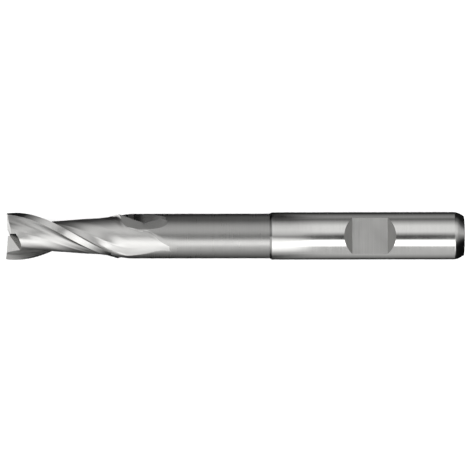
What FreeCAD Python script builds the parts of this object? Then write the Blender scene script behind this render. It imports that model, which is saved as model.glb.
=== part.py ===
import FreeCAD, Part
import math
import os

# End mill: two-flute slot drill, long neck, side-lock (Weldon) shank. All lengths in mm, angles in degrees.
# X runs along the tool axis from the cutting tip to the back of the shank, whose end face centre is the origin.
# The drive flat faces +Z. "s" is the distance from the cutting tip; an angle runs from +Y towards +Z.
OVERALL_LENGTH = 96.8
CUT_RADIUS = 5.0
NECK_RADIUS = 4.72
SHANK_RADIUS = 5.0

CUTTING_LENGTH = 22.0
STEP_LENGTH = 0.3
HEAD_LENGTH = 36.6
SHANK_START = 55.7
LEAD_CHAMFER = 0.5
REAR_GUIDE_START = 82.6

SHANK_END_LENGTH = 1.45
SHANK_END_RADIUS = 4.15
SHANK_END_ROUND = 0.8
FLAT_HEIGHT = 3.25
FLAT_LENGTH = 7.4
FLAT_TO_END = 19.95
CENTRE_MOUTH_RADIUS = 2.1
CENTRE_PILOT_RADIUS = 1.0
CENTRE_PILOT_LENGTH = 2.6
CENTRE_HALF_ANGLE = 30.0
PILOT_HALF_ANGLE = 59.0

HELIX = 30.0
LEAD = 2 * math.pi * CUT_RADIUS / math.tan(math.radians(HELIX))
EDGE_ANGLE_AT_TIP = -12.5
TEETH = (0.0, 180.0)

# How each flute changes along the head: (s, core radius, rake side, floor start, floor end, back side);
# the last four are angles ahead of the cutting edge. The core tapers, and past the cutting length the flute
# narrows and runs out.
FLUTE_STATIONS = [
    (-1.0, 2.90, 0.0, 28.0, 115.0, 162.0), (5.5, 2.90, 0.0, 28.0, 115.0, 162.0),
    (11.0, 3.24, 0.0, 28.0, 118.0, 162.0), (16.0, 3.62, 0.0, 28.0, 122.0, 162.0),
    (21.5, 4.00, 0.0, 28.0, 134.0, 160.0), (23.3, 4.10, 0.0, 28.0, 140.0, 158.0),
    (25.1, 4.19, 0.0, 29.0, 90.0, 98.0), (26.2, 4.24, 5.0, 38.0, 94.0, 99.0),
    (28.3, 4.36, 20.0, 56.0, 98.0, 102.0), (30.2, 4.50, 34.0, 72.0, 107.0, 116.0),
    (31.5, 4.58, 45.0, 80.0, 104.5, 122.0), (33.0, 4.64, 60.0, 84.0, 99.0, 148.0),
    (34.7, 4.69, 78.0, 86.0, 98.0, 150.0), (37.0, 4.95, 98.0, 99.0, 101.0, 112.0),
]
# Flute cross-section as (height, place): the height goes from 0 on the core to 1 at the cutting radius, and
# the place from 0 to 1 across the rake wall, 1 to 2 across the floor and 2 to 3 across the back wall. Past the
# cutting length the deep section changes into the run-out section.
FLUTE_PROFILE = [
    (1.04, 0.00), (0.72, -0.03), (0.45, -0.03), (0.25, 0.07), (0.12, 0.32), (0.04, 0.64), (0.00, 1.00),
    (0.00, 1.33), (0.00, 1.67), (0.00, 2.00), (0.03, 2.25), (0.09, 2.50), (0.19, 2.75), (0.45, 2.90), (0.82, 3.00),
]
RUNOUT_PROFILE = [
    (1.04, 0.00), (0.82, 0.10), (0.62, 0.20), (0.42, 0.34), (0.24, 0.52), (0.09, 0.72), (0.00, 1.00),
    (0.00, 1.33), (0.00, 1.67), (0.00, 2.00), (0.20, 2.25), (0.40, 2.50), (0.60, 2.75), (0.72, 2.90), (0.82, 3.00),
]
RUNOUT_BLEND = (22.5, 27.0)
FLUTE_REACH = 6.3
FLUTE_FLARE = (2.0, 9.0)
FLUTE_OUTSIDE_RADIUS = 9.0
SPACING_STATION = 11.0
FLUTE_CUTS = [-1 + 2 * i for i in range(20)]

# Clearance behind each cutting edge: a narrow land, then a flat facet with its own run-out.
LAND_ANGLE = 6.0
FACET_NORMAL = (25.5, 39.5)
FACET_RADIUS = (4.58, 4.29)
FACET_WIDENS = (22.0, 28.0)
FACET_HALF_ANGLE = 38.0
FACET_RUNOUT_START = 29.5
FACET_WHEEL_RADIUS = 25.0
LAND_OVERRUN = 1.5
GRINDING_STOCK = 0.3
CUTTER_REACH = 8.0

# Where a facet fades out on the neck, a straight pass of the wheel leaves a shallow flat with a low shoulder:
# (s, distance of the flat from the axis, distance of the shoulder from the flat's middle).
RUNOUT_FLAT_DIRECTION = 47.5
RUNOUT_FLAT = [
    (23.6, 4.70, 3.0), (24.4, 4.18, 3.0), (26.5, 4.26, 3.0), (29.0, 4.33, 2.6), (30.4, 4.31, 1.71),
    (32.1, 4.38, 1.28), (33.6, 4.56, 0.43), (34.3, 4.73, 0.10), (35.2, 4.90, 0.05),
]

# End teeth: hollow-ground end edges with two-stage relief, and a gash in front of each. Only one edge
# reaches the centre: a notch cuts the other one back.
DISH = 4.4
END_RELIEF = 8.0
END_RELIEF_WIDTH = 1.0
END_CLEARANCE = 20.0
GASH_SLOPE = 35.0
GASH_ANGLE = 109.0
GASH_SETBACK = 0.05
GASH_DEPTH_ON_AXIS = (-0.05, 0.90)
GASH_PAST_CENTRE = 0.55
GASH_END_SLANT = 0.2
CENTRE_NOTCH = [(-1.6, -1.0), (-1.3, 0.35), (-0.4, 0.85), (-0.1, 0.75), (0.0, -1.0)]


def at(s):
    return s - OVERALL_LENGTH


def polar(s, radius, degrees):
    turn = math.radians(degrees)
    return FreeCAD.Vector(at(s), radius * math.cos(turn), radius * math.sin(turn))


def edge_angle(s):
    return EDGE_ANGLE_AT_TIP + 360.0 * s / LEAD


def smooth_step(value, start, end):
    t = min(1.0, max(0.0, (value - start) / (end - start)))
    return t * t * (3 - 2 * t)


def mix(first, second, share):
    return first + (second - first) * share


def turned(points):
    """Solid of revolution about the tool axis from (s, radius) points."""
    outline = Part.makePolygon([FreeCAD.Vector(at(s), r, 0) for s, r in points + points[:1]])
    return Part.Face(outline).revolve(FreeCAD.Vector(0, 0, 0), FreeCAD.Vector(1, 0, 0), 360)


def row_at(table, s):
    """Values of a table of (s, ...) rows at one station, along smooth curves that never overshoot."""
    low = max(0, sum(1 for row in table[:-1] if row[0] <= s) - 1)
    span = table[low + 1][0] - table[low][0]
    t = (s - table[low][0]) / span
    values = []
    for column in range(1, len(table[0])):
        first = table[low][column]
        last = table[low + 1][column]
        start_slope = slope_at(table, low, column) * span
        end_slope = slope_at(table, low + 1, column) * span
        bend = (2 * t - 3) * t * t * (first - last) + first
        values.append(bend + (t - 1) ** 2 * t * start_slope + t * t * (t - 1) * end_slope)
    return values


def slope_at(table, index, column):
    if index in (0, len(table) - 1):
        return 0.0
    before, here, after = table[index - 1:index + 2]
    rise = (here[column] - before[column]) / (here[0] - before[0])
    climb = (after[column] - here[column]) / (after[0] - here[0])
    return 2 * rise * climb / (rise + climb) if rise * climb > 0 else 0.0


def flute_floor(s):
    """Points along a flute's surface at one station, from outside the rake side to outside the back side."""
    core, *sides = row_at(FLUTE_STATIONS, s)
    rake, back = sides[0], sides[-1]
    edge = edge_angle(s)
    share = smooth_step(s, *RUNOUT_BLEND)
    floor = [polar(s, FLUTE_REACH, edge - rake - FLUTE_FLARE[0])]
    for deep, shallow in zip(FLUTE_PROFILE, RUNOUT_PROFILE):
        height = mix(deep[0], shallow[0], share)
        place = mix(deep[1], shallow[1], share)
        part = min(2, max(0, int(place)))
        ahead = mix(sides[part], sides[part + 1], place - part)
        floor.append(polar(s, mix(core, CUT_RADIUS, height), edge - ahead))
    floor.append(polar(s, FLUTE_REACH, edge - back - FLUTE_FLARE[1]))
    return floor


def spacing(points):
    """Running length along a row of points."""
    lengths = [0.0]
    for a, b in zip(points, points[1:]):
        lengths.append(lengths[-1] + a.distanceToPoint(b))
    return lengths


def flute_section(s):
    """Closed outline of the metal a flute removes at one station; all stations share one spacing."""
    floor = flute_floor(s)
    _, rake, *_, back = row_at(FLUTE_STATIONS, s)
    edge = edge_angle(s)
    corners = [floor[-1]]
    corners += [polar(s, FLUTE_OUTSIDE_RADIUS, edge - mix(rake, back, part)) for part in (0.9, 0.5, 0.1)]
    corners.append(floor[0])
    curve = Part.BSplineCurve()
    curve.interpolate(Points=floor, Parameters=spacing(flute_floor(SPACING_STATION)))
    lines = [Part.makeLine(a, b) for a, b in zip(corners, corners[1:])]
    return Part.Wire([curve.toShape()] + lines)


def facet_section(s):
    """Closed outline of the metal removed behind a cutting edge at one station."""
    share = smooth_step(s, *FACET_WIDENS)
    normal = mix(*FACET_NORMAL, share)
    rise = max(0.0, s - FACET_RUNOUT_START) ** 2 / (2 * FACET_WHEEL_RADIUS)
    depth = mix(*FACET_RADIUS, share) + rise
    edge = edge_angle(min(s, FACET_RUNOUT_START))
    near = depth / math.cos(math.radians(normal - LAND_ANGLE))
    far = depth / math.cos(math.radians(FACET_HALF_ANGLE))
    cutting_edge = polar(s, CUT_RADIUS + rise, edge)
    land_end = polar(s, near, edge + LAND_ANGLE)
    corners = [
        mix(land_end, cutting_edge, 1 + LAND_OVERRUN),
        land_end,
        polar(s, far, edge + normal + FACET_HALF_ANGLE),
        polar(s, CUTTER_REACH, edge + normal + FACET_HALF_ANGLE),
        polar(s, CUTTER_REACH, edge + normal),
        polar(s, CUTTER_REACH, edge - 2 * LAND_ANGLE),
    ]
    return Part.makePolygon(corners + corners[:1])


def runout_flat():
    """Metal removed by the straight pass at the end of one facet."""
    wires = []
    for s, depth, shoulder in RUNOUT_FLAT:
        ring = []
        for side, height in ((-shoulder, depth), (4, depth), (4, CUTTER_REACH), (-shoulder - 1.6, CUTTER_REACH)):
            turn = RUNOUT_FLAT_DIRECTION + math.degrees(math.atan2(side, height))
            ring.append(polar(s, math.hypot(side, height), turn))
        wires.append(Part.makePolygon(ring + ring[:1]))
    return Part.makeLoft(wires, True, True)


def stations(end, step):
    count = math.ceil((end + 1) / step)
    return [-1 + (end + 1) * i / count for i in range(count + 1)]


def about_axis(shape, degrees):
    shape = shape.copy()
    shape.rotate(FreeCAD.Vector(0, 0, 0), FreeCAD.Vector(1, 0, 0), degrees)
    return shape


def tooth_point(tooth, along, behind, s):
    """A point at the tip: along the end edge from the axis, behind the edge, and s from the tip."""
    turn = math.radians(EDGE_ANGLE_AT_TIP + tooth)
    y = along * math.cos(turn) - behind * math.sin(turn)
    z = along * math.sin(turn) + behind * math.cos(turn)
    return FreeCAD.Vector(at(s), y, z)


def end_relief(tooth):
    """Metal removed in front of one end tooth's face, from its edge backwards."""
    drop = END_RELIEF_WIDTH * math.tan(math.radians(END_RELIEF))
    last = drop + (CUTTER_REACH - END_RELIEF_WIDTH) * math.tan(math.radians(END_CLEARANCE))
    profile = [(0, -2), (0, 0), (END_RELIEF_WIDTH, drop), (CUTTER_REACH, last), (CUTTER_REACH, -2)]
    wires = []
    for along in (-CUTTER_REACH, CUTTER_REACH):
        dish = (CUT_RADIUS - along) * math.tan(math.radians(DISH))
        corners = [tooth_point(tooth, along, behind, s + dish * (s > -2)) for behind, s in profile]
        wires.append(Part.makePolygon(corners + corners[:1]))
    return Part.makeLoft(wires, True, True)


def gash(tooth, depth_on_axis):
    """V-shaped notch that clears the chips in front of one end edge."""
    slope = math.radians(GASH_SLOPE)
    opening = math.radians(GASH_ANGLE)
    size = CUTTER_REACH
    corners = [(0, 0), (size, 0), (size, size), (size * math.cos(opening), size * math.sin(opening))]
    wires = []
    for inner, slant in ((-GASH_PAST_CENTRE, GASH_END_SLANT), (size, 0)):
        ring = []
        for up, out in corners:
            along = inner + slant * out
            s = depth_on_axis + along * math.tan(slope) - up / math.cos(slope)
            ring.append(tooth_point(tooth, along, GASH_SETBACK - out, s))
        wires.append(Part.makePolygon(ring + ring[:1]))
    return Part.makeLoft(wires, True, True)


def centre_notch(tooth):
    """Notch across the tip that ends the opposite tooth's edge short of the centre."""
    wires = []
    for behind in (-CUTTER_REACH, CUTTER_REACH):
        ring = [tooth_point(tooth, along, behind, s) for along, s in CENTRE_NOTCH]
        wires.append(Part.makePolygon(ring + ring[:1]))
    return Part.makeLoft(wires, True, True)


def fluted_head():
    step_end = CUTTING_LENGTH + STEP_LENGTH
    blank_radius = CUT_RADIUS + GRINDING_STOCK
    blank = turned([
        (0, 0), (0, blank_radius), (CUTTING_LENGTH, blank_radius), (step_end, NECK_RADIUS),
        (HEAD_LENGTH, NECK_RADIUS), (HEAD_LENGTH, 0),
    ])
    flute = Part.makeLoft([flute_section(s) for s in FLUTE_CUTS], True, False)
    facet = Part.makeLoft([facet_section(s) for s in stations(HEAD_LENGTH, 1.2)], True, False)
    for tooth, depth in zip(TEETH, GASH_DEPTH_ON_AXIS):
        blank = blank.cut(about_axis(flute, tooth))
        blank = blank.cut(about_axis(facet, tooth))
        blank = blank.cut(about_axis(runout_flat(), tooth))
        blank = blank.cut(end_relief(tooth))
        blank = blank.cut(gash(tooth, depth))
    blank = blank.cut(centre_notch(TEETH[1]))
    return max(blank.Solids, key=lambda solid: solid.Volume)


def neck():
    return turned([(HEAD_LENGTH, 0), (HEAD_LENGTH, NECK_RADIUS), (SHANK_START, NECK_RADIUS), (SHANK_START, 0)])


def drive_flat():
    """Block removed for the clamp screw: a flat floor between two 45 degree walls."""
    middle = OVERALL_LENGTH - FLAT_TO_END
    top = SHANK_RADIUS + 1
    half = FLAT_LENGTH / 2
    spread = half + top - FLAT_HEIGHT
    profile = [(-half, FLAT_HEIGHT), (half, FLAT_HEIGHT), (spread, top), (-spread, top)]
    corners = [FreeCAD.Vector(at(middle + s), -CUTTER_REACH, z) for s, z in profile]
    return Part.Face(Part.makePolygon(corners + corners[:1])).extrude(FreeCAD.Vector(0, 2 * CUTTER_REACH, 0))


def centre_hole():
    mouth_depth = (CENTRE_MOUTH_RADIUS - CENTRE_PILOT_RADIUS) / math.tan(math.radians(CENTRE_HALF_ANGLE))
    pilot_end = OVERALL_LENGTH - mouth_depth - CENTRE_PILOT_LENGTH
    point_depth = CENTRE_PILOT_RADIUS / math.tan(math.radians(PILOT_HALF_ANGLE))
    return turned([
        (OVERALL_LENGTH, 0), (OVERALL_LENGTH, CENTRE_MOUTH_RADIUS),
        (OVERALL_LENGTH - mouth_depth, CENTRE_PILOT_RADIUS), (pilot_end, CENTRE_PILOT_RADIUS),
        (pilot_end - point_depth, 0),
    ])


def shank():
    chamfer_start = OVERALL_LENGTH - SHANK_END_LENGTH
    body = turned([
        (SHANK_START, 0), (SHANK_START, NECK_RADIUS), (SHANK_START + LEAD_CHAMFER, SHANK_RADIUS),
        (REAR_GUIDE_START, SHANK_RADIUS), (chamfer_start, SHANK_RADIUS),
        (OVERALL_LENGTH, SHANK_END_RADIUS), (OVERALL_LENGTH, 0),
    ])
    corner = [e for e in body.Edges if abs(e.BoundBox.XMin - at(chamfer_start)) < 1e-6 and e.BoundBox.XLength < 1e-6]
    body = body.makeFillet(SHANK_END_ROUND, corner)
    return body.cut(drive_flat()).cut(centre_hole())


def main():
    os.makedirs("parts", exist_ok=True)
    fluted_head().exportStep("parts/fluted_head.step")
    neck().exportStep("parts/neck.step")
    shank().exportStep("parts/shank.step")


main()
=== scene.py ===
import math

import bmesh
import bpy
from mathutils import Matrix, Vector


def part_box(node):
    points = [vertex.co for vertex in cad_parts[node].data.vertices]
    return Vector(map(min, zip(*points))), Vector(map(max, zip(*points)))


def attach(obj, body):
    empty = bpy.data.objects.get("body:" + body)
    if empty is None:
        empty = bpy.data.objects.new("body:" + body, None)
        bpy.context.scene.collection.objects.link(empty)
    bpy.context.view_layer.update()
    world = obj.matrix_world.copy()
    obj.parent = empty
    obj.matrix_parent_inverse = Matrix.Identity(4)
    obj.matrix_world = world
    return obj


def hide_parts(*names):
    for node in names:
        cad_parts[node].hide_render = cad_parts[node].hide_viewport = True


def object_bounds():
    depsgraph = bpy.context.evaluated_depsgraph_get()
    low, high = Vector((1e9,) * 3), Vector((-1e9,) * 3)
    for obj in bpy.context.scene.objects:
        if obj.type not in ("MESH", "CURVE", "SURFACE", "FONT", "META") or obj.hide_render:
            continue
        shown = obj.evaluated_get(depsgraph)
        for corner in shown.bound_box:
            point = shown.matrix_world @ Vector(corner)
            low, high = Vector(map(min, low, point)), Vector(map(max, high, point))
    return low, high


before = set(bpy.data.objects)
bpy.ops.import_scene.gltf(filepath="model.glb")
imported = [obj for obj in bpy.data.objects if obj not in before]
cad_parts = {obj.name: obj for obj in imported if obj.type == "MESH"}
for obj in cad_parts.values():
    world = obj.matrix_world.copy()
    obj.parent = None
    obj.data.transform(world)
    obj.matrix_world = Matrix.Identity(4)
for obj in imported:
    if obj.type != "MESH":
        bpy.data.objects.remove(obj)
cad_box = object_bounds()

# Lengths are in millimetres and angles in degrees. "s" is the distance from the cutting tip along the tool, and
# an angle round the tool runs from +Y towards +Z. MM scales them to the frame's metres.
MM = 0.001
TIP_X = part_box("fluted_head")[0][0]
LENGTH = (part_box("shank")[1][0] - TIP_X) / MM
NECK_START = (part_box("neck")[0][0] - TIP_X) / MM
SHANK_START = (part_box("shank")[0][0] - TIP_X) / MM
CUT_RADIUS = 5.0
NECK_RADIUS = (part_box("neck")[1][1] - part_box("neck")[0][1]) / 2 / MM
SHANK_RADIUS = (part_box("shank")[1][1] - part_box("shank")[0][1]) / 2 / MM
CUTTING_LENGTH = 22.0
STEP_LENGTH = 0.3
GRINDING_STOCK = 0.3
TEETH = (0.0, 180.0)

HELIX = 30.0
HELIX_LEAD = 2 * math.pi * CUT_RADIUS / math.tan(math.radians(HELIX))
EDGE_ANGLE_AT_TIP = -12.5

# Mesh fineness: points round a turned piece, distance between rings, curve points in each span of a section.
AROUND = 240
RING_STEP = 0.4
CURVE_STEPS = 6

# How each flute changes along the head: (s, core radius, rake side, floor start, floor end, back side), the
# last four as angles ahead of the cutting edge.
FLUTE_STATIONS = [
    (-1.0, 2.90, 0.0, 28.0, 115.0, 162.0), (5.5, 2.90, 0.0, 28.0, 115.0, 162.0),
    (11.0, 3.24, 0.0, 28.0, 118.0, 162.0), (16.0, 3.62, 0.0, 28.0, 122.0, 162.0),
    (21.5, 4.00, 0.0, 28.0, 134.0, 160.0), (22.4, 4.05, 0.0, 28.0, 137.0, 158.0),
    (25.8, 4.22, 3.0, 35.0, 92.0, 99.0), (27.0, 4.28, 10.0, 44.0, 95.0, 100.0),
    (28.3, 4.36, 20.0, 56.0, 98.0, 102.0), (30.2, 4.50, 34.0, 72.0, 107.0, 116.0),
    (31.5, 4.58, 45.0, 80.0, 104.5, 122.0), (33.0, 4.64, 60.0, 84.0, 99.0, 148.0),
    (34.7, 4.69, 78.0, 86.0, 98.0, 150.0), (37.0, 4.95, 98.0, 99.0, 101.0, 112.0),
]
# Flute cross-section as (height, place): height 0 on the core and 1 at the cutting radius; place 0 to 1
# across the rake wall, 1 to 2 across the floor, 2 to 3 across the back wall. Past the cutting length the deep
# section changes into the run-out section.
FLUTE_PROFILE = [
    (1.04, 0.00), (0.72, -0.03), (0.45, -0.03), (0.25, 0.07), (0.12, 0.32), (0.04, 0.64), (0.00, 1.00),
    (0.00, 1.33), (0.00, 1.67), (0.00, 2.00), (0.03, 2.25), (0.09, 2.50), (0.19, 2.75), (0.45, 2.90),
    (0.82, 3.00),
]
RUNOUT_PROFILE = [
    (1.04, 0.00), (0.82, 0.10), (0.62, 0.20), (0.42, 0.34), (0.24, 0.52), (0.09, 0.72), (0.00, 1.00),
    (0.00, 1.33), (0.00, 1.67), (0.00, 2.00), (0.20, 2.25), (0.40, 2.50), (0.60, 2.75), (0.72, 2.90),
    (0.82, 3.00),
]
RUNOUT_BLEND = (22.5, 27.0)
FLUTE_REACH = 6.3
FLUTE_FLARE = (2.0, 9.0)
FLUTE_OUTSIDE_RADIUS = 9.0

# Clearance behind each cutting edge: a narrow land, then a flat facet that rises out of the metal at its end.
LAND_ANGLE = 6.0
LAND_OVERRUN = 1.5
FACET_NORMAL = (25.5, 39.5)
FACET_RADIUS = (4.58, 4.29)
FACET_WIDENS = (22.0, 28.0)
FACET_HALF_ANGLE = 38.0
FACET_RUNOUT_START = 29.5
FACET_WHEEL_RADIUS = 25.0
REACH = 8.0

# Where a facet fades out on the neck, a straight pass of the wheel leaves a shallow flat with a low shoulder:
# (s, distance of the flat from the axis, distance of the shoulder from the flat's middle).
RUNOUT_FLAT_DIRECTION = 47.5
RUNOUT_FLAT = [
    (23.6, 4.70, 3.0), (24.4, 4.18, 3.0), (26.5, 4.26, 3.0), (29.0, 4.33, 2.6), (30.4, 4.31, 1.71),
    (32.1, 4.38, 1.28), (33.6, 4.56, 0.43), (34.3, 4.73, 0.10), (35.2, 4.90, 0.05),
]
RUNOUT_FLAT_FAR_SIDE = 4.0
RUNOUT_SHOULDER_SLANT = 1.6
RUNOUT_FLAT_STEPS = 44
# Station from which the flute's back wall takes the darker neck finish, as painted shade.
PAINTED_WALL_SHADE_START = 29.0

# End teeth: hollow-ground end edges with two-stage relief, and a gash in front of each. Only one edge reaches
# the centre: a notch cuts the other one back.
DISH = math.tan(math.radians(4.4))
RELIEF_WIDTH = 1.0
RELIEF_SLOPE = math.tan(math.radians(8))
CLEARANCE_SLOPE = math.tan(math.radians(20))
GASH_SLOPE = math.radians(35)
GASH_ANGLE = math.radians(109)
GASH_SETBACK = 0.05
GASH_DEPTH_ON_AXIS = (-0.05, 0.90)
GASH_PAST_CENTRE = 0.55
GASH_END_SLANT = 0.2
GASH_LENGTH = 4.5
CENTRE_NOTCH = [(-1.6, -1.0), (-1.3, 0.35), (-0.4, 0.85), (-0.1, 0.75), (0.0, -1.0)]

# Drive flat and shank end.
FLAT_MIDDLE = LENGTH - 19.95
FLAT_HEIGHT = 3.25
FLAT_LENGTH = 7.4
LEAD_CHAMFER = 0.5
END_CHAMFER_LENGTH = 1.45
END_RADIUS = 4.15
CENTRE_MOUTH_RADIUS = 2.1
CENTRE_MOUTH_DEPTH = 1.905
CENTRE_PILOT_RADIUS = 1.0
CENTRE_PILOT_LENGTH = 2.6
CENTRE_POINT_DEPTH = 0.595


# ---------------------------------------------------------------- mesh helpers

def mesh_object(name, points, faces):
    mesh = bpy.data.meshes.new(name)
    mesh.from_pydata([(TIP_X + s * MM, y * MM, z * MM) for s, y, z in points], [], faces)
    piece = bpy.data.objects.new(name, mesh)
    bpy.context.scene.collection.objects.link(piece)
    tidy_normals(mesh)
    return piece


def tidy_normals(mesh):
    work = bmesh.new()
    work.from_mesh(mesh)
    bmesh.ops.recalc_face_normals(work, faces=work.faces)
    work.to_mesh(mesh)
    work.free()


def polar(s, radius, degrees):
    turn = math.radians(degrees)
    return (s, radius * math.cos(turn), radius * math.sin(turn))


def mix(first, second, share):
    if isinstance(first, tuple):
        return tuple(a + (b - a) * share for a, b in zip(first, second))
    return first + (second - first) * share


def smooth_step(value, start, end):
    t = min(1.0, max(0.0, (value - start) / (end - start)))
    return t * t * (3 - 2 * t)


def skin(name, rings):
    """Closed solid through rings of equal point counts, with flat ends."""
    count = len(rings[0])
    points = [p for ring in rings for p in ring]
    faces = []
    for i in range(len(rings) - 1):
        for j in range(count):
            k = (j + 1) % count
            faces.append((i * count + j, i * count + k, (i + 1) * count + k, (i + 1) * count + j))
    faces.append(tuple(range(count)))
    faces.append(tuple(range(len(points) - count, len(points))))
    return mesh_object(name, points, faces)


def turned(name, outline):
    """Solid of revolution about the tool axis. The outline is (s, radius) points from axis to axis."""
    points = [(outline[0][0], 0, 0), (outline[-1][0], 0, 0)]
    rim = outline[1:-1]
    for s, radius in rim:
        points += [polar(s, radius, 360 * j / AROUND) for j in range(AROUND)]
    faces = []
    for j in range(AROUND):
        k = (j + 1) % AROUND
        faces.append((0, 2 + k, 2 + j))
        last = 2 + (len(rim) - 1) * AROUND
        faces.append((1, last + j, last + k))
        for i in range(len(rim) - 1):
            row = 2 + i * AROUND
            faces.append((row + j, row + k, row + AROUND + k, row + AROUND + j))
    return mesh_object(name, points, faces)


def rounded(outline, corner, reach, steps):
    """Replaces one corner of an outline with a small arc-like curve that starts and ends this far from it."""
    before, at, after = outline[corner - 1:corner + 2]
    start = mix(at, before, reach / math.dist(at, before))
    end = mix(at, after, reach / math.dist(at, after))
    curve = []
    for i in range(steps + 1):
        t = i / steps
        curve.append(mix(mix(start, at, t), mix(at, end, t), t))
    return outline[:corner] + curve + outline[corner + 1:]


def through(points, per_span):
    """Catmull-Rom curve through points."""
    padded = [mix(points[1], points[0], 2.0)] + points + [mix(points[-2], points[-1], 2.0)]
    curve = []
    for i in range(1, len(padded) - 2):
        a, b, c, d = padded[i - 1:i + 3]
        for j in range(per_span):
            t = j / per_span
            curve.append(tuple(catmull_rom(t, *values) for values in zip(a, b, c, d)))
    return curve + [points[-1]]


def catmull_rom(t, before, start, end, after):
    square = 2 * before - 5 * start + 4 * end - after
    cube = 3 * start - before - 3 * end + after
    return 0.5 * (2 * start + (end - before) * t + square * t * t + cube * t ** 3)


def about_axis(piece, degrees):
    for vertex in piece.data.vertices:
        x, y, z = vertex.co
        turn = math.radians(degrees)
        vertex.co = (x, y * math.cos(turn) - z * math.sin(turn), y * math.sin(turn) + z * math.cos(turn))
    return piece


def carve(piece, cutter):
    change = piece.modifiers.new("carve", "BOOLEAN")
    change.operation = "DIFFERENCE"
    change.solver = "MANIFOLD"
    change.object = cutter
    bpy.context.view_layer.update()
    result = bpy.data.meshes.new_from_object(piece.evaluated_get(bpy.context.evaluated_depsgraph_get()))
    piece.modifiers.clear()
    piece.data = result
    bpy.data.objects.remove(cutter)


def finish_mesh(piece, sharp_degrees):
    work = bmesh.new()
    work.from_mesh(piece.data)
    bmesh.ops.remove_doubles(work, verts=work.verts, dist=1e-7)
    bmesh.ops.dissolve_degenerate(work, edges=work.edges, dist=1e-7)
    bmesh.ops.recalc_face_normals(work, faces=work.faces)
    work.to_mesh(piece.data)
    work.free()
    piece.data.shade_smooth()
    piece.data.set_sharp_from_angle(angle=math.radians(sharp_degrees))


# ---------------------------------------------------------------- cutters

def edge_angle(s):
    return EDGE_ANGLE_AT_TIP + 360.0 * s / HELIX_LEAD


def stations(end, step):
    count = math.ceil((end + 1) / step)
    return [-1 + (end + 1) * i / count for i in range(count + 1)]


def slope_at(table, index, column):
    if index in (0, len(table) - 1):
        return 0.0
    before, here, after = table[index - 1:index + 2]
    rise = (here[column] - before[column]) / (here[0] - before[0])
    climb = (after[column] - here[column]) / (after[0] - here[0])
    return 2 * rise * climb / (rise + climb) if rise * climb > 0 else 0.0


def row_at(table, s):
    """Values of a table of (s, ...) rows at one station, along smooth curves that never overshoot."""
    low = max(0, sum(1 for row in table[:-1] if row[0] <= s) - 1)
    span = table[low + 1][0] - table[low][0]
    t = (s - table[low][0]) / span
    values = []
    for column in range(1, len(table[0])):
        first = table[low][column]
        last = table[low + 1][column]
        start_slope = slope_at(table, low, column) * span
        end_slope = slope_at(table, low + 1, column) * span
        bend = (2 * t - 3) * t * t * (first - last) + first
        values.append(bend + (t - 1) ** 2 * t * start_slope + t * t * (t - 1) * end_slope)
    return values


def flute_ring(s):
    core, *sides = row_at(FLUTE_STATIONS, s)
    rake, back = sides[0], sides[-1]
    edge = edge_angle(s)
    share = smooth_step(s, *RUNOUT_BLEND)
    floor = [polar(s, FLUTE_REACH, edge - rake - FLUTE_FLARE[0])]
    for deep, shallow in zip(FLUTE_PROFILE, RUNOUT_PROFILE):
        height = mix(deep[0], shallow[0], share)
        place = mix(deep[1], shallow[1], share)
        part = min(2, max(0, int(place)))
        ahead = mix(sides[part], sides[part + 1], place - part)
        floor.append(polar(s, mix(core, CUT_RADIUS, height), edge - ahead))
    floor.append(polar(s, FLUTE_REACH, edge - back - FLUTE_FLARE[1]))
    outside = [polar(s, FLUTE_OUTSIDE_RADIUS, edge - mix(rake, back, part)) for part in (0.9, 0.5, 0.1)]
    return through(floor, CURVE_STEPS) + outside


def facet_ring(s):
    share = smooth_step(s, *FACET_WIDENS)
    normal = mix(*FACET_NORMAL, share)
    rise = max(0.0, s - FACET_RUNOUT_START) ** 2 / (2 * FACET_WHEEL_RADIUS)
    depth = mix(*FACET_RADIUS, share) + rise
    edge = edge_angle(min(s, FACET_RUNOUT_START))
    cutting_edge = polar(s, CUT_RADIUS + rise, edge)
    land_end = polar(s, depth / math.cos(math.radians(normal - LAND_ANGLE)), edge + LAND_ANGLE)
    return [
        mix(land_end, cutting_edge, 1 + LAND_OVERRUN),
        land_end,
        polar(s, depth / math.cos(math.radians(FACET_HALF_ANGLE)), edge + normal + FACET_HALF_ANGLE),
        polar(s, REACH, edge + normal + FACET_HALF_ANGLE),
        polar(s, REACH, edge + normal),
        polar(s, REACH, edge - 2 * LAND_ANGLE),
    ]


def runout_flat():
    rings = []
    for i in range(RUNOUT_FLAT_STEPS + 1):
        s = mix(RUNOUT_FLAT[0][0], RUNOUT_FLAT[-1][0], i / RUNOUT_FLAT_STEPS)
        depth, shoulder = row_at(RUNOUT_FLAT, s)
        far = RUNOUT_FLAT_FAR_SIDE
        ring = []
        for side, height in (
            (-shoulder, depth), (far, depth), (far, REACH), (-shoulder - RUNOUT_SHOULDER_SLANT, REACH),
        ):
            turn = RUNOUT_FLAT_DIRECTION + math.degrees(math.atan2(side, height))
            ring.append(polar(s, math.hypot(side, height), turn))
        rings.append(ring)
    return skin("runout_flat", rings)


def tooth_point(tooth, along, behind, s):
    """A point at the tip: along the end edge from the axis, behind the edge, and s from the tip."""
    turn = math.radians(EDGE_ANGLE_AT_TIP + tooth)
    return (
        s,
        along * math.cos(turn) - behind * math.sin(turn),
        along * math.sin(turn) + behind * math.cos(turn),
    )


def end_relief(tooth):
    drop = RELIEF_WIDTH * RELIEF_SLOPE
    last = drop + (REACH - RELIEF_WIDTH) * CLEARANCE_SLOPE
    profile = [(0, -2), (0, 0), (RELIEF_WIDTH, drop), (REACH, last), (REACH, -2)]
    rings = []
    for along in (-REACH, REACH):
        dish = (CUT_RADIUS - along) * DISH
        rings.append([tooth_point(tooth, along, behind, s + dish * (s > -2)) for behind, s in profile])
    return skin("end_relief", rings)


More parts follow.
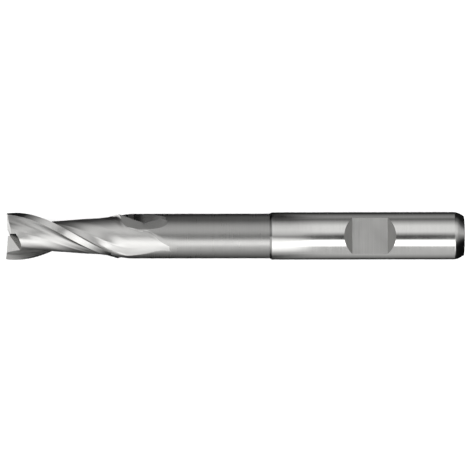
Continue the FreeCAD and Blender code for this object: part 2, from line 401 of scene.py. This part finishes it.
def gash(tooth, depth_on_axis):
    corners = [(0, 0), (REACH, 0), (REACH, REACH), (REACH * math.cos(GASH_ANGLE), REACH * math.sin(GASH_ANGLE))]
    rings = []
    for inner, slant in ((-GASH_PAST_CENTRE, GASH_END_SLANT), (REACH, 0)):
        ring = []
        for up, out in corners:
            along = inner + slant * out
            s = depth_on_axis + along * math.tan(GASH_SLOPE) - up / math.cos(GASH_SLOPE)
            ring.append(tooth_point(tooth, along, GASH_SETBACK - out, s))
        rings.append(ring)
    return skin("gash", rings)


def centre_notch(tooth):
    rings = []
    for behind in (-REACH, REACH):
        rings.append([tooth_point(tooth, along, behind, s) for along, s in CENTRE_NOTCH])
    return skin("centre_notch", rings)


# ---------------------------------------------------------------- pieces

def make_head():
    stock = CUT_RADIUS + GRINDING_STOCK
    outline = [
        (0, 0), (0, stock), (CUTTING_LENGTH, stock), (CUTTING_LENGTH + STEP_LENGTH, NECK_RADIUS),
        (NECK_START, NECK_RADIUS), (NECK_START, 0),
    ]
    head = turned("fluted_head_ground", outline)
    places = stations(NECK_START, RING_STEP)
    for tooth in TEETH:
        carve(head, about_axis(skin("flute", [flute_ring(s) for s in places]), tooth))
        carve(head, about_axis(skin("facet", [facet_ring(s) for s in places]), tooth))
        carve(head, about_axis(runout_flat(), tooth))
    for tooth, depth in zip(TEETH, GASH_DEPTH_ON_AXIS):
        carve(head, end_relief(tooth))
        carve(head, gash(tooth, depth))
    carve(head, centre_notch(TEETH[1]))
    finish_mesh(head, 9)
    return head


def make_neck():
    outline = [(NECK_START, 0), (NECK_START, NECK_RADIUS), (SHANK_START, NECK_RADIUS), (SHANK_START, 0)]
    piece = turned("neck_relief", outline)
    finish_mesh(piece, 30)
    return piece


def make_shank():
    pilot_start = LENGTH - CENTRE_MOUTH_DEPTH
    pilot_end = pilot_start - CENTRE_PILOT_LENGTH
    outline = [
        (SHANK_START, 0), (SHANK_START, NECK_RADIUS), (SHANK_START + LEAD_CHAMFER, SHANK_RADIUS),
        (LENGTH - END_CHAMFER_LENGTH, SHANK_RADIUS), (LENGTH, END_RADIUS), (LENGTH, CENTRE_MOUTH_RADIUS),
        (pilot_start, CENTRE_PILOT_RADIUS), (pilot_end, CENTRE_PILOT_RADIUS),
        (pilot_end - CENTRE_POINT_DEPTH, 0),
    ]
    for corner, reach, steps in ((5, 0.1, 2), (4, 0.12, 3), (3, 0.7, 8), (2, 0.06, 2)):
        outline = rounded(outline, corner, reach, steps)
    piece = turned("shank_weldon", outline)
    top = SHANK_RADIUS + 1
    half = FLAT_LENGTH / 2
    spread = half + top - FLAT_HEIGHT
    profile = [(-half, FLAT_HEIGHT), (half, FLAT_HEIGHT), (spread, top), (-spread, top)]
    rings = [[(FLAT_MIDDLE + s, side, z) for s, z in profile] for side in (-REACH, REACH)]
    carve(piece, skin("drive_flat", rings))
    finish_mesh(piece, 25)
    return piece


# ---------------------------------------------------------------- materials

def add_node(tree, kind, **settings):
    node = tree.nodes.new("ShaderNode" + kind)
    for name, value in settings.items():
        setattr(node, name, value)
    return node


def maths(tree, operation, first, second):
    node = add_node(tree, "Math", operation=operation)
    for socket, value in zip(node.inputs, (first, second)):
        if isinstance(value, (int, float)):
            socket.default_value = value
        else:
            tree.links.new(value, socket)
    return node.outputs[0]


def lay_vector(tree, helical):
    """Texture space that is stretched along the grinding marks: round the axis, or along the helix."""
    place = add_node(tree, "TexCoord")
    split = add_node(tree, "SeparateXYZ")
    tree.links.new(place.outputs["Object"], split.inputs[0])
    angle = maths(tree, "ARCTAN2", split.outputs["Z"], split.outputs["Y"])
    twist = maths(tree, "MULTIPLY", split.outputs["X"], 2 * math.pi / (HELIX_LEAD * MM))
    vector = add_node(tree, "CombineXYZ")
    if helical:
        untwisted = maths(tree, "SUBTRACT", angle, twist)
        tree.links.new(maths(tree, "SINE", untwisted, 0), vector.inputs[0])
        tree.links.new(maths(tree, "COSINE", untwisted, 0), vector.inputs[1])
        tree.links.new(maths(tree, "MULTIPLY", split.outputs["X"], 12), vector.inputs[2])
    else:
        tree.links.new(maths(tree, "MULTIPLY", split.outputs["X"], 1000), vector.inputs[0])
        tree.links.new(maths(tree, "MULTIPLY", split.outputs["Y"], 25), vector.inputs[1])
        tree.links.new(maths(tree, "MULTIPLY", split.outputs["Z"], 25), vector.inputs[2])
    return place.outputs["Object"], vector.outputs[0]


def noise(tree, vector, scale, detail):
    node = add_node(tree, "TexNoise")
    node.inputs["Scale"].default_value = scale
    node.inputs["Detail"].default_value = detail
    tree.links.new(vector, node.inputs["Vector"])
    return node.outputs["Fac"]


def remap(tree, value, low, high, from_low=0.3, from_high=0.7):
    node = add_node(tree, "MapRange")
    node.inputs["From Min"].default_value = from_low
    node.inputs["From Max"].default_value = from_high
    node.inputs["To Min"].default_value = low
    node.inputs["To Max"].default_value = high
    tree.links.new(value, node.inputs["Value"])
    return node.outputs["Result"]


def ground_finish(name, tone, roughness, line_scale, line_depth, helical=False):
    """Ground tool steel with grinding lines, uneven gloss, faint handling marks and a painted highlight that
    lightens the colour along edges.
    """
    material = bpy.data.materials.new(name)
    material.use_nodes = True
    tree = material.node_tree
    shader = tree.nodes["Principled BSDF"]
    shader.inputs["Metallic"].default_value = 1.0
    place, along_lay = lay_vector(tree, helical)
    lines = noise(tree, along_lay, line_scale, 4)
    marks = noise(tree, place, 260, 3)
    specks = noise(tree, place, 3200, 2)

    gloss = remap(tree, marks, roughness - 0.02, roughness + 0.025)
    gloss = maths(tree, "ADD", remap(tree, lines, -0.03, 0.03), gloss)
    gloss = maths(tree, "ADD", gloss, remap(tree, specks, 0.0, 0.06, 0.66, 0.74))
    tree.links.new(gloss, shader.inputs["Roughness"])

    # Painted highlight: where the bevelled normal turns away from the true one, along edges, the base colour is
    # lightened by up to 12 per cent.
    corner = add_node(tree, "Bevel", samples=6)
    corner.inputs["Radius"].default_value = 0.00008
    flat = add_node(tree, "NewGeometry")
    turn = add_node(tree, "VectorMath", operation="DOT_PRODUCT")
    tree.links.new(corner.outputs["Normal"], turn.inputs[0])
    tree.links.new(flat.outputs["Normal"], turn.inputs[1])
    edge_highlight = remap(tree, turn.outputs["Value"], 1.12, 1.0, 0.8, 0.98)
    shade = maths(tree, "MULTIPLY", remap(tree, lines, 0.96, 1.04), remap(tree, marks, 0.975, 1.02))
    shade = maths(tree, "MULTIPLY", maths(tree, "MULTIPLY", shade, edge_highlight), tone)
    colour = add_node(tree, "CombineColor")
    tree.links.new(shade, colour.inputs[0])
    tree.links.new(maths(tree, "MULTIPLY", shade, 0.995), colour.inputs[1])
    tree.links.new(maths(tree, "MULTIPLY", shade, 0.975), colour.inputs[2])
    tree.links.new(colour.outputs[0], shader.inputs["Base Color"])

    relief = add_node(tree, "Bump")
    relief.inputs["Distance"].default_value = line_depth
    relief.inputs["Strength"].default_value = 0.6
    tree.links.new(lines, relief.inputs["Height"])
    tree.links.new(relief.outputs["Normal"], shader.inputs["Normal"])
    return material


def shank_finish():
    return ground_finish("shank_ground", 0.62, 0.12, 9.0, 4e-7)


def neck_finish():
    return ground_finish("neck_ground", 0.36, 0.30, 6.0, 1e-6)


def flat_finish():
    return ground_finish("drive_flat_milled", 0.60, 0.33, 4.0, 3e-6)


def flute_finish():
    return ground_finish("flute_ground", 0.60, 0.36, 55.0, 8e-7, helical=True)


def land_finish():
    return ground_finish("land_ground", 0.60, 0.20, 70.0, 4e-7, helical=True)


def gash_finish():
    return ground_finish("gash_ground", 0.60, 0.22, 5.0, 8e-7)


def centre_of(face):
    s = (face.center.x - TIP_X) / MM
    return s, face.center.y / MM, face.center.z / MM


def on_neck(face):
    s, y, z = centre_of(face)
    return s > CUTTING_LENGTH - 0.1 and abs(math.hypot(y, z) - NECK_RADIUS) < 0.03


# Faces of the run-out back wall, which take the darker neck finish as painted shade that dims the key light's
# reflection there.
def runout_wall_painted_dark(face):
    s, y, z = centre_of(face)
    if s < PAINTED_WALL_SHADE_START:
        return False
    *_, wall, back = row_at(FLUTE_STATIONS, s)
    ahead = (edge_angle(s) - math.degrees(math.atan2(z, y))) % 180
    return wall < ahead < back


def on_land(face):
    s, y, z = centre_of(face)
    share = smooth_step(s, *FACET_WIDENS)
    normal = mix(*FACET_NORMAL, share)
    rise = max(0.0, s - FACET_RUNOUT_START) ** 2 / (2 * FACET_WHEEL_RADIUS)
    depth = mix(*FACET_RADIUS, share) + rise
    for tooth in TEETH:
        turn = math.radians(edge_angle(min(s, FACET_RUNOUT_START)) + normal + tooth)
        if abs(y * math.cos(turn) + z * math.sin(turn) - depth) < 0.03:
            return True
    return math.hypot(y, z) > CUT_RADIUS - 0.25


def on_gash(face):
    if centre_of(face)[0] > GASH_LENGTH:
        return False
    for tooth in TEETH:
        turn = math.radians(EDGE_ANGLE_AT_TIP + tooth)
        out = (0, math.sin(turn), -math.cos(turn))
        rise = math.sin(GASH_SLOPE)
        up = (-math.cos(GASH_SLOPE), rise * math.cos(turn), rise * math.sin(turn))
        side = [math.sin(GASH_ANGLE) * a - math.cos(GASH_ANGLE) * b for a, b in zip(up, out)]
        if face.normal.dot(out) > 0.999 or face.normal.dot(side) > 0.999:
            return True
    return False


def on_drive_flat(face):
    s, y, z = centre_of(face)
    near = abs(s - FLAT_MIDDLE) < FLAT_LENGTH / 2 + SHANK_RADIUS - FLAT_HEIGHT + 0.01
    return near and z > FLAT_HEIGHT - 0.01 and face.normal.z > 0.6 and abs(face.normal.y) < 0.01


def dress(piece, base, special):
    """Gives a piece its base finish and a second finish wherever a test on the face holds."""
    piece.data.materials.clear()
    piece.data.materials.append(base)
    for finish, _ in special:
        piece.data.materials.append(finish)
    for face in piece.data.polygons:
        face.material_index = 0
        for i, (_, test) in enumerate(special):
            if test(face):
                face.material_index = i + 1
                break


# ---------------------------------------------------------------- stage

def add_world():
    world = bpy.data.worlds.new("studio")
    bpy.context.scene.world = world
    world.use_nodes = True
    world.node_tree.nodes["Background"].inputs["Color"].default_value = (0.25, 0.25, 0.25, 1)


# The tent round the tool is graded like hung paper sheets, as (degrees from overhead, tone) stops. Each sheet
# is what one set of surfaces mirrors: those that lean along the tool mirror the tent further along it. The
# polished shank mirrors even cards, each (first degrees, last degrees, tone), with soft gaps between them: a broad
# sheet on one side, a dark gap overhead, a bright key card beyond it and a dimmer sheet on the other side.
SHANK_CARDS = [
    (-180, -140, 30), (-110, -100, 130), (-92, -85, 100), (-50, -20, 210), (0, 15, 75), (26, 45, 330),
    (55, 100, 170), (150, 180, 30),
]
SHANK_SHEET = [(edge, tone) for first, last, tone in SHANK_CARDS for edge in (first, last)]
NECK_SHEET = [
    (-180, 5), (-110, 10), (-80, 100), (-50, 230), (-30, 250), (-10, 230), (5, 165), (20, 280), (45, 360),
    (70, 300), (90, 200), (115, 70), (130, 20), (180, 5),
]
FLUTE_SHEET = [
    (-180, 5), (-110, 30), (-80, 170), (-50, 250), (-30, 260), (-10, 210), (0, 180), (10, 300), (45, 340),
    (70, 310), (90, 220), (120, 50), (180, 5),
]
RAKE_SHEET = [
    (-180, 10), (-110, 40), (-80, 120), (-50, 230), (-20, 250), (0, 200), (20, 150), (40, 70), (60, 30), (180, 10),
]
PEAK_TONE = 380
ROUGH_GAIN = 0.62
# Where each sheet takes over from the neck's, and how the whole tent fades, as (metres along the tool from its
# middle, share) stops.
SHANK_WINDOW = [(-0.026, 0.0), (-0.010, 1.0), (0.105, 1.0), (0.125, 0.0)]
FLUTE_WINDOW = [(-0.12, 1.0), (-0.08, 0.0)]
RAKE_WINDOW = [(0.16, 0.0), (0.20, 1.0)]
WINDOW_REACH = 0.2
FALLOFF = [
    (-4.0, 0.40), (-1.7, 0.40), (-1.2, 0.30), (-0.7, 0.38), (-0.4, 0.50), (-0.2, 1.0), (0.3, 1.0), (0.6, 0.65),
    (4.0, 0.55),
]
TENT_RADIUS = 0.7
TENT_HALF_LENGTH = 4.0
TENT_STEPS = 180
TOOL_MIDDLE = TIP_X + 48.4 * MM


def light_tent():
    """Long round tent about the tool that only reflections see."""
    points = []
    faces = []
    for i in range(TENT_STEPS + 1):
        turn = math.radians(-180 + 360 * i / TENT_STEPS)
        for x in (-TENT_HALF_LENGTH, TENT_HALF_LENGTH):
            points.append((x, -TENT_RADIUS * math.sin(turn), TENT_RADIUS * math.cos(turn)))
    for i in range(TENT_STEPS):
        faces.append((2 * i, 2 * i + 1, 2 * i + 3, 2 * i + 2))
    mesh = bpy.data.meshes.new("light_tent")
    mesh.from_pydata(points, [], faces)
    tent = bpy.data.objects.new("light_tent", mesh)
    bpy.context.scene.collection.objects.link(tent)
    mesh.materials.append(tent_glow())
    tent.visible_camera = False
    tent.visible_shadow = False
    tent.visible_diffuse = False
    return tent


def tent_glow():
    material = bpy.data.materials.new("light_tent")
    material.use_nodes = True
    tree = material.node_tree
    tree.nodes.clear()
    place = add_node(tree, "TexCoord")
    split = add_node(tree, "SeparateXYZ")
    tree.links.new(place.outputs["Object"], split.inputs[0])
    side = maths(tree, "MULTIPLY", split.outputs["Y"], -1)
    around = remap(tree, maths(tree, "ARCTAN2", side, split.outputs["Z"]), 0, 1, -math.pi, math.pi)
    offset = maths(tree, "SUBTRACT", split.outputs["X"], TOOL_MIDDLE)
    peak = linear(PEAK_TONE)
    tone = sheet_tone(tree, around, NECK_SHEET, ROUGH_GAIN / peak)
    for sheet, gain, window in (
        (SHANK_SHEET, 1.0, SHANK_WINDOW),
        (FLUTE_SHEET, ROUGH_GAIN, FLUTE_WINDOW),
        (RAKE_SHEET, ROUGH_GAIN, RAKE_WINDOW),
    ):
        blend = add_node(tree, "Mix", data_type="RGBA")
        tree.links.new(level_along(tree, offset, WINDOW_REACH, window), blend.inputs[0])
        tree.links.new(tone, blend.inputs[6])
        tree.links.new(sheet_tone(tree, around, sheet, gain / peak), blend.inputs[7])
        tone = blend.outputs[2]
    glow = add_node(tree, "Emission")
    tree.links.new(tone, glow.inputs["Color"])
    fade = level_along(tree, offset, TENT_HALF_LENGTH, FALLOFF)
    tree.links.new(maths(tree, "MULTIPLY", fade, peak / ROUGH_GAIN), glow.inputs["Strength"])
    out = add_node(tree, "OutputMaterial")
    tree.links.new(glow.outputs[0], out.inputs[0])
    return material


def sheet_tone(tree, around, sheet, gain):
    """Colour round the tent from (degrees, tone) stops."""
    return ramp_colour(tree, around, [((degrees + 180) / 360, gain * linear(tone)) for degrees, tone in sheet])


def level_along(tree, offset, reach, stops):
    """Level along the tent from (metres, level) stops between -reach and reach."""
    along = remap(tree, offset, 0, 1, -reach, reach)
    return ramp_colour(tree, along, [((x / reach + 1) / 2, level) for x, level in stops])


def ramp_colour(tree, value, stops):
    ramp = add_node(tree, "ValToRGB")
    tree.links.new(value, ramp.inputs[0])
    for i, (place, level) in enumerate(stops):
        element = ramp.color_ramp.elements[i] if i < 2 else ramp.color_ramp.elements.new(place)
        element.position = place
        element.color = (level, level, level, 1)
    return ramp.outputs["Color"]


def linear(tone):
    """Light level that shows on screen as this tone, where 255 is white."""
    share = tone / 255
    return ((share + 0.055) / 1.055) ** 2.4


def card(name, centre, width, height, lean, level):
    """Small glowing card that only reflections see."""
    mesh = bpy.data.meshes.new(name)
    w, h = width / 2, height / 2
    mesh.from_pydata([(0, -w, -h), (0, w, -h), (0, w, h), (0, -w, h)], [], [(0, 1, 2, 3)])
    piece = bpy.data.objects.new(name, mesh)
    piece.location = (TIP_X + centre[0], centre[1], centre[2])
    piece.rotation_euler = (0, math.radians(lean), 0)
    bpy.context.scene.collection.objects.link(piece)
    mesh.materials.append(glowing(name, level))
    piece.visible_camera = False
    piece.visible_shadow = False
    piece.visible_diffuse = False
    return piece


def backdrop():
    """Pale shell far round the scene, seen only directly."""
    mesh = bpy.data.meshes.new("backdrop")
    shell = bmesh.new()
    bmesh.ops.create_uvsphere(shell, u_segments=48, v_segments=24, radius=12)
    shell.to_mesh(mesh)
    shell.free()
    dome = bpy.data.objects.new("backdrop", mesh)
    bpy.context.scene.collection.objects.link(dome)
    mesh.materials.append(glowing("backdrop", 0.95))
    dome.visible_glossy = False
    dome.visible_diffuse = False
    dome.visible_shadow = False
    return dome


def glowing(name, level):
    material = bpy.data.materials.new(name)
    material.use_nodes = True
    tree = material.node_tree
    tree.nodes.clear()
    glow = add_node(tree, "Emission")
    glow.inputs["Color"].default_value = (1, 1, 1, 1)
    glow.inputs["Strength"].default_value = level
    out = add_node(tree, "OutputMaterial")
    tree.links.new(glow.outputs[0], out.inputs[0])
    return material


def add_floor():
    size = 6.0
    corners = [(-size, -size, 0), (size, -size, 0), (size, size, 0), (-size, size, 0)]
    mesh = bpy.data.meshes.new("floor")
    mesh.from_pydata(corners, [], [(0, 1, 2, 3)])
    floor = bpy.data.objects.new("floor", mesh)
    floor.location.z = cad_box[0][2]
    bpy.context.scene.collection.objects.link(floor)
    material = bpy.data.materials.new("pale_floor")
    material.use_nodes = True
    shader = material.node_tree.nodes["Principled BSDF"]
    shader.inputs["Base Color"].default_value = (0.9, 0.9, 0.9, 1)
    shader.inputs["Roughness"].default_value = 0.8
    mesh.materials.append(material)
    floor.visible_glossy = False
    return floor


def add_lights():
    data = bpy.data.lights.new("overhead", "AREA")
    data.shape = "RECTANGLE"
    data.size = 2.0
    data.size_y = 2.0
    data.energy = 60
    light = bpy.data.objects.new("overhead", data)
    light.location = (-0.05, 0, 1.4)
    bpy.context.scene.collection.objects.link(light)
    light.visible_glossy = False
    light.visible_camera = False


def add_camera():
    data = bpy.data.cameras.new("camera")
    data.sensor_width = 36
    data.lens = 362.3
    data.clip_end = 50
    camera = bpy.data.objects.new("camera", data)
    camera.location = (TOOL_MIDDLE, 0.00022, 1.0)
    camera.rotation_euler = (0, 0, -0.0015)
    bpy.context.scene.collection.objects.link(camera)
    bpy.context.scene.camera = camera


shank = make_shank()
neck = make_neck()
head = make_head()
neck_steel = neck_finish()
dress(shank, shank_finish(), [(flat_finish(), on_drive_flat)])
dress(neck, neck_steel, [])
# The run-out back wall gets the darker neck finish as painted shade, dimming its bright reflection.
dress(head, flute_finish(), [
    (neck_steel, on_neck), (neck_steel, runout_wall_painted_dark), (gash_finish(), on_gash), (land_finish(), on_land),
])
for piece, node, slot in (
    (shank, "shank", "shank_steel"), (neck, "neck", "neck_steel"), (head, "fluted_head", "ground_steel"),
):
    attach(piece, "root")
    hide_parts(node)

add_world()
light_tent()
backdrop()
add_floor()
card("relief_card", (-0.30, 0.14, -0.38), 0.36, 0.44, -50, 1.5)
card("gash_card", (-0.46, -0.07, 0.50), 0.30, 0.34, -45, 0.50)
add_lights()
add_camera()
bpy.context.scene.view_settings.view_transform = "Standard"
